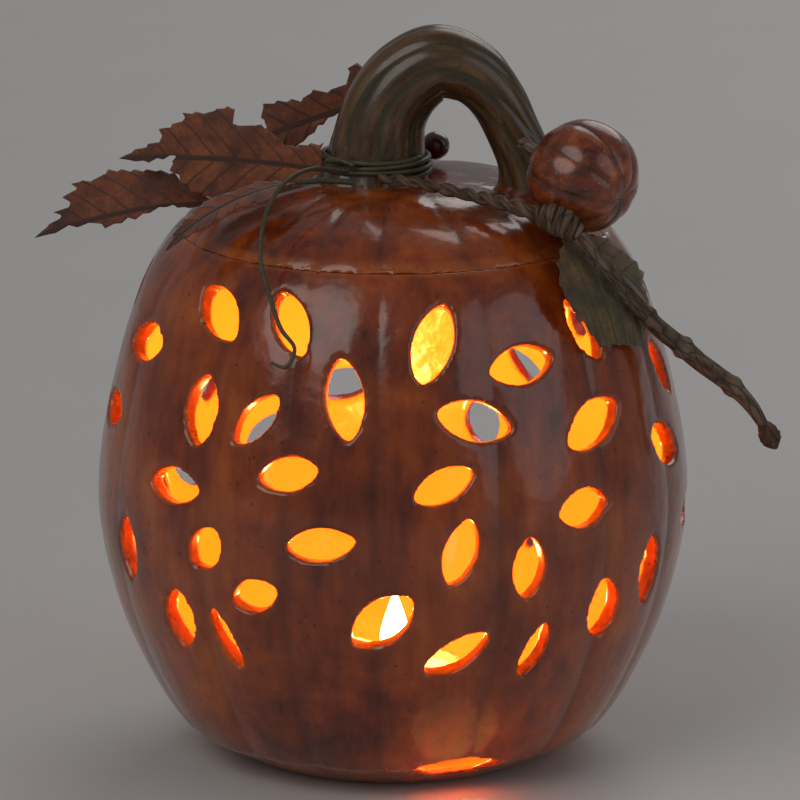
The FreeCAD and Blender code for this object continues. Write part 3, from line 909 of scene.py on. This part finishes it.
def toothed(corners, dice):
    """The outline with uneven pointed teeth along its runs, leaning towards the tip."""
    edge = []
    count = len(corners)
    for i in range(count):
        a, b = corners[i], corners[(i + 1) % count]
        run = b - a
        length = np.linalg.norm(run)
        inward = np.array([-run[1], run[0]]) / length
        teeth = max(1, round(length / (LEAF_TOOTH * MM * (0.75 + 0.6 * dice.random()))))
        before = a - corners[i - 1]
        both = inward + np.array([-before[1], before[0]]) / np.linalg.norm(before)
        edge.append(a - both / max(np.linalg.norm(both), 0.5) * LEAF_SWELL * MM)
        lean = 0.72 if run[0] > 0 else 0.28
        for k in range(teeth):
            step = 1 / teeth
            bite = length * step * (0.08 + 0.22 * dice.random())
            valley = (k + (1 - lean) * 0.75 + 0.1 * dice.random()) * step
            foot = a + run * valley
            bite = min(bite, 0.22 * room_inside(foot, inward, corners))
            edge.append(foot + inward * (bite - LEAF_SWELL * MM))
            if k < teeth - 1:
                share = (k + 0.92 + 0.16 * dice.random()) * step
                edge.append(a + run * share - inward * LEAF_SWELL * MM)
    return np.array(edge)


def leaf_look(node, material, seed):
    """A thin cloth leaf: toothed edge, raised veins, puffed panels and a curled rim."""
    dice = random.Random(seed)
    loop, root, (forward, sideways, facing), fit = blade_outline(node)
    if 0.5 * np.sum(loop[:, 0] * np.roll(loop[:, 1], -1) - np.roll(loop[:, 0], -1) * loop[:, 1]) < 0:
        loop = loop[::-1]
    edge = toothed(thinned(loop), dice)
    step = LEAF_STEP * MM
    grid = []
    (x0, y0), (x1, y1) = edge.min(0), edge.max(0)
    for row, y in enumerate(np.arange(y0, y1, step * 0.87)):
        for x in np.arange(x0 + (row % 2) * step / 2, x1, step):
            grid.append((x, y))
    flat = [Vector(p) for p in edge] + [Vector(p) for p in grid]
    border = list(range(len(edge)))
    made = delaunay_2d_cdt(flat, [], [border], 1, 1e-7)
    x, y = np.array([tuple(p) for p in made[0]]).T
    faces = [tuple(f) for f in made[2]]
    used = sorted({i for f in faces for i in f})
    place = {old: new for new, old in enumerate(used)}
    x, y = x[used], y[used]
    faces = [tuple(place[i] for i in f) for f in faces]
    height = fit @ np.array([np.ones(len(x)), x, y, x * x, x * y, y * y])
    phase = (x - 0.9 * np.abs(y)) / (VEIN_GAP * MM)
    panel = np.abs(np.sin(np.pi * phase)) * smoothstep(np.abs(y), 0.5 * MM, 4 * MM)
    midrib = np.exp(-((y / (0.9 * MM)) ** 2))
    rim = np.array([np.min(np.hypot(edge[:, 0] - a, edge[:, 1] - b)) for a, b in zip(x, y)])
    curl = 1 - smoothstep(rim, 0, 5 * MM)
    samples = np.column_stack([x, y, np.full(len(x), seed * 0.01)])
    height += (0.45 * panel - 0.5 * midrib + 0.9 * curl * wobble(samples, 0.012, seed)) * MM
    height += 0.7 * MM * wobble(samples, 0.022, seed + 4.0)
    points = root + np.outer(x, forward) + np.outer(y, sideways) + np.outer(height, facing)
    piece = add_piece(node + "_look", points, faces, material, "lid", [node])
    store(piece.data, "blade", np.column_stack([x, y, height]))
    triangles = points[np.array(faces)]
    sides = np.cross(triangles[:, 1] - triangles[:, 0], triangles[:, 2] - triangles[:, 0])
    area = 0.5 * np.linalg.norm(sides, axis=1).sum()
    skin = piece.modifiers.new("cloth", "SOLIDIFY")
    skin.thickness = LEAF_CLOTH * MM
    skin.offset = 0


def gourd_look(material):
    """A small round gourd with shallow lobes, dimpled at both ends."""
    axis = Vector(GOURD_AXIS).normalized()
    turn = axis.to_track_quat("Z", "Y").to_matrix()
    rings, segments = 90, 160
    points = []
    grain = []
    grooves = []
    for i in range(rings + 1):
        polar = math.pi * i / rings
        for j in range(segments):
            angle = TAU * j / segments
            cut = abs(math.sin(angle * GOURD_LOBES / 2 + 0.3 * math.sin(angle))) ** 0.7
            groove = (1 - cut) * math.sin(polar) ** 0.7
            radius = 1 - 0.035 * groove - 0.16 * math.exp(-((polar / 0.30) ** 2))
            radius -= 0.09 * math.exp(-(((math.pi - polar) / 0.22) ** 2))
            x, y = math.sin(polar) * math.cos(angle), math.sin(polar) * math.sin(angle)
            z = math.cos(polar) * 0.955
            radius *= 1 + 0.012 * noise.noise(Vector((x, y, z)) * 2.2)
            shape = turn @ Vector((x, y, z)) * radius * GOURD_SWELL * GOURD_RADIUS * MM
            points.append(shape + Vector(GOURD_CENTRE) * MM)
            grain.append((x, y, z))
            grooves.append(0.8 * (1 - cut) ** 1.5 * math.sin(polar) ** 0.5)
    faces = ring_faces(rings + 1, segments)
    piece = add_piece("mini_gourd_look", points, faces, material, "lid", ["mini_gourd"])
    store(piece.data, "grain", grain)
    store(piece.data, "groove", grooves)
    merge_poles(piece)


def merge_poles(piece):
    """Closes a turned mesh whose first and last rings have no size."""
    work = bmesh.new()
    work.from_mesh(piece.data)
    bmesh.ops.remove_doubles(work, verts=work.verts, dist=0.01 * MM)
    bmesh.ops.recalc_face_normals(work, faces=work.faces)
    work.to_mesh(piece.data)
    work.free()


def gourd_stalk_look(material):
    """A stubby ridged stalk with a cut end."""
    axis = np.array(Vector(GOURD_AXIS).normalized())
    root = np.array(GOURD_CENTRE) + axis * GOURD_RADIUS * 0.74
    taper = ((0, 3.1), (2.0, 2.3), (5.0, 1.6), (8.5, 1.3), (10.2, 1.5))
    stations = [(*(root + axis * along), radius) for along, radius in taper]
    line = round_ends(smooth_line(scaled(stations), 60))

    def swell(along, angle):
        return 1 + 0.13 * np.cos(5 * angle + along * 130)

    add_tube("gourd_stalk_look", line, 60, material, "lid", ["gourd_stalk"], swell)


def twisted(line, strands, turns, strand_radius, spread, seed, segments=20):
    """Thin strands wound round a centre line, as (points, faces, grain)."""
    _, side, up = frames_along(line[:, :3])
    parts = []
    share = np.linspace(0, 1, len(line))
    for k in range(strands):
        angle = TAU * (k / strands + turns * share) + 0.25 * np.sin(share * 17 + k + seed)
        reach = line[:, 3] * spread
        centre = line[:, :3] + (np.cos(angle) * reach)[:, None] * side + (np.sin(angle) * reach)[:, None] * up
        radius = line[:, 3] * strand_radius * (1 + 0.12 * np.sin(share * 40 + 2 * k + seed))
        parts.append(tube(round_ends(np.column_stack([centre, radius])), segments))
    return joined(parts)


def vine_look(material):
    line = smooth_line(scaled(VINE_LINE), 220)
    points, faces, grain = twisted(line, 2, 4.5, 0.62, 0.48, 1.0)
    piece = add_piece("vine_look", points, faces, material, "lid", ["vine"])
    store(piece.data, "grain", grain)


def knot_look(material):
    """The vine's end wound round itself into a tight knot."""
    line = smooth_line(scaled(KNOT_LINE), 260)
    core = tube(round_ends(line * np.array([1, 1, 1, 0.72])), 32)
    wraps = twisted(line, 2, 3.2, 0.30, 0.74, 2.0)
    points, faces, grain = joined([core, wraps])
    piece = add_piece("vine_knot_look", points, faces, material, "lid", ["vine_knot"])
    store(piece.data, "grain", grain)


def twig_look(material):
    """A crooked twig with swollen joints and lengthwise wrinkles."""
    line = round_ends(smooth_line(scaled(TWIG_LINE), 320))

    def swell(along, angle):
        bulge = sum(0.26 * np.exp(-(((along - joint * MM) / 0.0016) ** 2)) for joint in TWIG_JOINTS)
        wrinkle = 0.05 * np.sin(7 * angle + along * 60 + 2 * np.sin(along * 210))
        return 0.93 + bulge + wrinkle + 0.05 * np.sin(3 * angle + along * 320)

    add_tube("twig_look", line, 48, material, "lid", ["twig"], swell)


def bud_look(material):
    """The bud, wrapped in overlapping scales."""
    line = round_ends(smooth_line(scaled(BUD_LINE), 90))

    def swell(along, angle):
        rows = along / 0.0016
        shift = np.floor(rows) * 0.5
        scale = (1 - (rows - np.floor(rows))) * np.abs(np.cos(2.5 * (angle + shift))) ** 0.5
        return 0.92 + 0.13 * scale

    add_tube("twig_bud_look", line, 60, material, "lid", ["twig_bud"], swell)


def tendril_look(material):
    line = round_ends(smooth_line(scaled(TENDRIL_LINE), 400))

    def swell(along, angle):
        return 1 + 0.05 * np.sin(along * 700)

    add_tube("tendril_look", line, 20, material, "lid", ["tendril"], swell)


def tie_look(material):
    """The florist's wire: close turns round the stem's thick leg, with its end tucked up."""
    count = 420
    share = np.linspace(0, 1, count)
    angle = TAU * TIE_TURNS * share - 1.2
    lift = TIE_PITCH * TIE_TURNS * share
    spread = TIE_RADIUS - 0.12 * lift + 0.12 * np.sin(angle * 2.3)
    x = TIE_CENTRE[0] + spread * np.cos(angle)
    y = TIE_CENTRE[1] + spread * np.sin(angle)
    z = TIE_CENTRE[2] + lift + 0.3 * np.sin(angle * 1.7)
    line = np.column_stack([x, y, z, np.full(count, 0.7)]) * MM
    add_tube("tie_wire_look", round_ends(line), 20, material, "lid", ["tie_wire"])


def stalk_looks(material):
    for node, route in STALK_LINES.items():
        line = round_ends(smooth_line(scaled(route, STALK_RADIUS), 90))
        add_tube(node + "_look", line, 24, material, "lid", [node])


def berry_look(material):
    """A round berry with a pinched crown."""
    low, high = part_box("berry")
    centre = (low + high) / 2
    radius = (high.z - low.z) / 2
    rings, segments = 48, 72
    points = []
    for i in range(rings + 1):
        polar = math.pi * i / rings
        for j in range(segments):
            angle = TAU * j / segments
            r = radius * (1 - 0.20 * math.exp(-((polar / 0.22) ** 2)) * (1 + 0.5 * math.cos(5 * angle)))
            r *= 1 + 0.01 * math.cos(3 * angle) * math.sin(polar)
            across = math.sin(polar)
            offset = Vector((across * math.cos(angle), math.cos(polar), across * math.sin(angle)))
            points.append(centre + offset * r)
    faces = ring_faces(rings + 1, segments)
    piece = add_piece("berry_look", points, faces, material, "lid", ["berry"])
    merge_poles(piece)


# ---- tealight ----


def cup_look(material):
    """A pressed cup: fluted side, rolled rim and a thin floor."""
    low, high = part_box("tealight_cup")
    radius = high.x - 0.6 * MM
    top = high.z - 0.8 * MM
    skin = 0.35 * MM
    outer = [(0.2 * MM, low.z + 0.7 * MM), (radius * 0.72, low.z + 0.7 * MM)]
    outer += [(radius * 0.80, low.z + 0.1 * MM), (radius * 0.93, low.z)]
    outer += [(radius * 0.985, low.z + 0.5 * MM), (radius, low.z + 1.6 * MM)]
    outer += [(radius, low.z + t * (top - low.z)) for t in np.linspace(0.15, 0.93, 14)]
    rim = []
    for a in np.radians(np.linspace(-60, 200, 12)):
        rim.append((radius + 0.1 * MM + 0.62 * MM * math.cos(a), top + 0.62 * MM * math.sin(a)))
    inner = [(radius - skin, low.z + t * (top - low.z)) for t in np.linspace(0.93, 0.12, 14)]
    inner += [(radius * 0.93, low.z + skin), (0.2 * MM, low.z + 0.7 * MM + skin)]
    profile = outer + rim + inner
    side = range(6, 19)

    def flute(angle, i):
        grip = 1.0 if i in side else 0.0
        mirror = 1.0 if i - len(outer) - len(rim) in range(1, 12) else 0.0
        return 0.16 * MM * np.cos(CUP_FLUTES * angle) * max(grip, mirror)

    points, faces = lathe(profile, 384, flute)
    add_piece("tealight_cup_look", points, faces, material, "tealight", ["tealight_cup"])


def wax_look(material):
    """The wax, dished and molten round the wick."""
    low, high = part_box("tealight_wax")
    radius = high.x - 0.15 * MM
    bore = 0.9 * MM
    profile = [(bore, low.z + 3.2 * MM), (radius * 0.9, low.z + 0.5 * MM), (radius, low.z + 1.2 * MM)]
    profile += [(radius, high.z - 0.7 * MM), (radius - 0.15 * MM, high.z - 0.2 * MM)]
    for r in np.linspace(radius - 0.5 * MM, bore, 26):
        share = r / radius
        dish = -0.9 * (1 - smoothstep(share, 0.60, 0.80)) + 0.35 * math.exp(-((r / (1.8 * MM)) ** 2))
        profile.append((r, high.z + (dish - 0.05) * MM))
    points, faces = lathe(profile, 160)
    points[:, 2] += 0.12 * MM * wobble(points, 0.007, 1.0) * (points[:, 2] > high.z - 1.5 * MM)
    add_piece("tealight_wax_look", points, faces, material, "tealight", ["tealight_wax"])


def wick_look(material):
    """The wick, bent over a little at its burnt end."""
    low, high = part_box("wick")
    radius = (high.x - low.x) / 2
    route = []
    for share in np.linspace(0, 1, 12):
        bend = max(0.0, share - 0.68)
        lean = MM * bend**2 / 0.3
        route.append((9.0 * lean, -4.0 * lean, low.z + share * (high.z - low.z), radius))
    line = round_ends(smooth_line(route, 120))

    def swell(along, angle):
        return 0.9 + 0.1 * np.abs(np.cos(1.5 * angle + along * 1900)) ** 0.6

    add_tube("wick_look", line, 36, material, "tealight", ["wick"], swell)


def flame_look(material):
    """The flame: a slim drop, a little to one side of the wick's tip."""
    shares = np.linspace(0.0, 1.0, 60)
    width = FLAME_RADIUS * np.sin(np.pi * shares**0.62) ** 0.85 * (1 - 0.35 * shares) + 0.02
    x = 0.55 * np.sin(shares * 2.4)
    y = -0.25 * shares
    z = FLAME_FOOT / MM + FLAME_HEIGHT * shares
    line = np.column_stack([x, y, z, width]) * MM
    points, faces, grain = tube(line, 48)
    piece = add_piece("flame", points, faces, material, "tealight")
    store(piece.data, "grain", grain)
    piece.visible_shadow = False


# ---- stage ----


def add_light(name, place, size, power, colour):
    data = bpy.data.lights.new(name, "AREA")
    data.shape = "DISK"
    data.size = size
    data.energy = power
    data.color = colour
    lamp = bpy.data.objects.new(name, data)
    link(lamp)
    lamp.location = place
    lamp.rotation_euler = (Vector(LAMP_TARGET) - Vector(place)).to_track_quat("-Z", "Y").to_euler()


def studio():
    """Pale floor, soft lights, and the flame's own light inside the body."""
    reach = 4.0
    corners = [(-reach, -reach, 0), (reach, -reach, 0), (reach, reach, 0), (-reach, reach, 0)]
    mesh = bpy.data.meshes.new("floor")
    mesh.from_pydata(corners, [], [(0, 1, 2, 3)])
    mesh.materials.append(floor_paint())
    floor = bpy.data.objects.new("floor", mesh)
    link(floor)
    for lamp in LAMPS:
        add_light(*lamp)
    world = bpy.data.worlds.new("studio")
    world.use_nodes = True
    world.node_tree.nodes["Background"].inputs["Color"].default_value = (0.80, 0.80, 0.82, 1)
    world.node_tree.nodes["Background"].inputs["Strength"].default_value = 0.19
    bpy.context.scene.world = world
    data = bpy.data.lights.new("candle", "POINT")
    data.energy = CANDLE_POWER
    data.color = CANDLE_COLOUR
    data.shadow_soft_size = 2.5 * MM
    candle = bpy.data.objects.new("candle", data)
    link(candle)
    candle.location = FLAME_MIDDLE
    candle.parent = frame["bodies"]["tealight"]


def add_camera():
    """Straight at the front from a little above, at a portrait lens's distance."""
    elevation = math.radians(CAMERA_ELEVATION)
    data = bpy.data.cameras.new("camera")
    data.sensor_width = 36
    data.lens = data.sensor_width * CAMERA_DISTANCE / CAMERA_WIDTH
    data.clip_start = 0.05
    camera = bpy.data.objects.new("camera", data)
    link(camera)
    offset = Vector((0, -math.cos(elevation), math.sin(elevation))) * CAMERA_DISTANCE
    camera.location = Vector(CAMERA_TARGET) + offset
    camera.rotation_euler = (-offset).to_track_quat("-Z", "Y").to_euler()
    bpy.context.scene.camera = camera


def build():
    add_camera()
    studio()
    bpy.context.scene.view_settings.view_transform = "Standard"
    glaze = pumpkin_glaze()
    body_look(glaze)
    lid_look(glaze)
    stem_look(stem_glaze())
    russet = leaf_cloth("leaf_silk_left", (0.10, 0.020, 0.008), (0.30, 0.075, 0.018), (0.055, 0.018, 0.008))
    olive = leaf_cloth("leaf_silk_right", (0.055, 0.042, 0.012), (0.20, 0.115, 0.030), (0.035, 0.022, 0.008))
    for seed, node in enumerate(("leaf_left_upper", "leaf_left_lower", "leaf_left_front", "leaf_rear")):
        leaf_look(node, russet, seed + 1)
    leaf_look("leaf_right", olive, 7)
    gourd_look(gourd_skin())
    vine_bark = bark("vine_bark", (0.045, 0.024, 0.012), (0.17, 0.095, 0.050))
    twig_bark = bark("twig_bark", (0.050, 0.028, 0.016), (0.20, 0.125, 0.072))
    gourd_stalk_look(twig_bark)
    vine_look(vine_bark)
    knot_look(vine_bark)
    twig_look(twig_bark)
    bud_look(bark("bud_scale", (0.035, 0.018, 0.010), (0.13, 0.065, 0.036), 0.15))
    wire = florist_wire()
    tendril_look(wire)
    tie_look(wire)
    stalk_looks(wire)
    berry_look(berry_skin())
    cup_look(cup_foil())
    wax_look(candle_wax())
    wick_look(wick_braid())
    flame_look(flame_glow())
    clip = NODES["wick_clip"]
    clip.data.materials.clear()
    clip.data.materials.append(clip_steel())


build()
bpy.context.view_layer.update()
